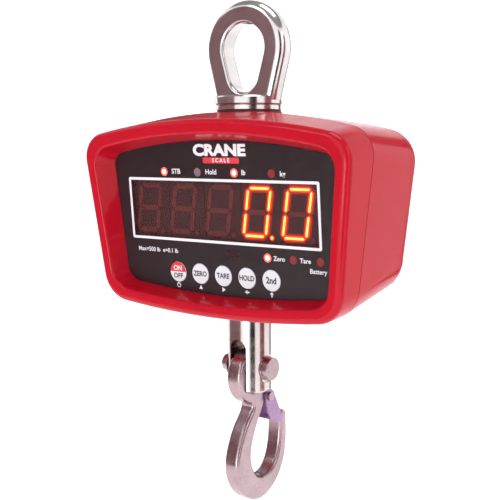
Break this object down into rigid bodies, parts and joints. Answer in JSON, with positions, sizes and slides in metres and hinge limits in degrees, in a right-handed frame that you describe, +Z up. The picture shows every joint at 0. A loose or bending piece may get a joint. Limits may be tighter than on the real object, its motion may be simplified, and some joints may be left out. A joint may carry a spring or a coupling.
{
  "type": "crane scale",
  "caption": "Hanging electronic crane scale: lifting eye, load cell in a cast housing with a tilted display and keys, swivel fork and a latched eye hook.",
  "frame": {"origin": "centre of the lifting eye's round bearing arc, on the load axis", "axes": "+Z up along the load axis, -Y is the display side, +X is the reader's right as they face the display"},
  "size_m": [0.19, 0.0909, 0.3043],
  "materials": {
    "red_paint": "gloss",
    "chrome": "polished",
    "zinc": "bright",
    "steel": "satin",
    "cell_alloy": "satin",
    "panel_film": "semi-gloss",
    "smoked_window": "gloss",
    "circuit_board": "satin",
    "display_grey": "satin",
    "lit_red": "glowing",
    "dull_red": "satin",
    "grey_lens": "satin",
    "key_white": "satin",
    "black_plastic": "satin",
    "black_rubber": "matte",
    "battery_case": "satin",
    "brass_nickel": "satin",
    "label_silver": "satin",
    "latch_zinc": "bright"
  },
  "bodies": {
    "housing": {"lifting_eye": "chrome", "eye_ring": "chrome", "top_gasket": "black_rubber", "clamp_washer": "steel", "load_cell": "cell_alloy", "gauge_covers": "cell_alloy", "swivel_cup": "steel", "swivel_cap": "steel", "lower_race": "steel", "front_frame": "red_paint", "seam_gasket": "black_rubber", "rear_housing": "red_paint", "housing_screws": "steel", "front_panel": "panel_film", "window_lens": "smoked_window", "display_board": "circuit_board", "board_posts": "black_plastic", "board_screws": "steel", "digit_1": "display_grey", "digit_2": "display_grey", "digit_3": "display_grey", "digit_4": "display_grey", "digit_5": "display_grey", "segments_lit": "lit_red", "segments_dark": "dull_red", "lamps_lit": "lit_red", "lamps_dark": "dull_red", "lamp_hold": "grey_lens", "remote_receiver": "dull_red", "key_board": "circuit_board", "key_posts": "black_plastic", "key_switches": "black_plastic", "control_board": "circuit_board", "control_posts": "black_plastic", "buzzer": "black_plastic", "battery": "battery_case", "battery_cover": "red_paint", "cover_screws": "steel", "charger_jack": "brass_nickel", "jack_nut": "brass_nickel", "data_label": "label_silver"},
    "fork": {"fork": "chrome", "swivel_nut": "steel", "nut_split_pin": "steel", "upper_race": "steel", "bearing_balls": "steel", "bearing_cage": "brass_nickel", "hook_pin": "zinc", "pin_washers": "zinc", "pin_ring": "steel"},
    "hook": {"hook": "zinc", "latch_pin": "zinc", "latch_spring": "steel"},
    "latch": {"latch": "latch_zinc"},
    "key_power": {"key_power": "key_white"},
    "key_zero": {"key_zero": "key_white"},
    "key_tare": {"key_tare": "key_white"},
    "key_hold": {"key_hold": "key_white"},
    "key_second": {"key_second": "key_white"}
  },
  "joints": [
    {"name": "fork_swivel", "type": "hinge", "parent": "housing", "child": "fork", "pos_m": [0, 0, -0.16], "axis": [0, 0, 1], "continuous": true},
    {"name": "hook_swing", "type": "hinge", "parent": "fork", "child": "hook", "pos_m": [0, 0, -0.191], "axis": [1, 0, 0], "range_deg": [-60, 60]},
    {"name": "latch_open", "type": "hinge", "parent": "hook", "child": "latch", "pos_m": [0, 0.0115, -0.2118], "axis": [-1, 0, 0], "range_deg": [0, 40], "stiffness_Nm_per_rad": 0.02, "springref_deg": -34.38},
    {"name": "key_power_press", "type": "slide", "parent": "housing", "child": "key_power", "axis": [0, 0.9962, 0.0872], "range_m": [0, 0.0005], "stiffness_N_per_m": 500, "springref_m": -0.0005},
    {"name": "key_zero_press", "type": "slide", "parent": "housing", "child": "key_zero", "axis": [0, 0.9962, 0.0872], "range_m": [0, 0.0005], "stiffness_N_per_m": 500, "springref_m": -0.0005},
    {"name": "key_tare_press", "type": "slide", "parent": "housing", "child": "key_tare", "axis": [0, 0.9962, 0.0872], "range_m": [0, 0.0005], "stiffness_N_per_m": 500, "springref_m": -0.0005},
    {"name": "key_hold_press", "type": "slide", "parent": "housing", "child": "key_hold", "axis": [0, 0.9962, 0.0872], "range_m": [0, 0.0005], "stiffness_N_per_m": 500, "springref_m": -0.0005},
    {"name": "key_second_press", "type": "slide", "parent": "housing", "child": "key_second", "axis": [0, 0.9962, 0.0872], "range_m": [0, 0.0005], "stiffness_N_per_m": 500, "springref_m": -0.0005}
  ]
}
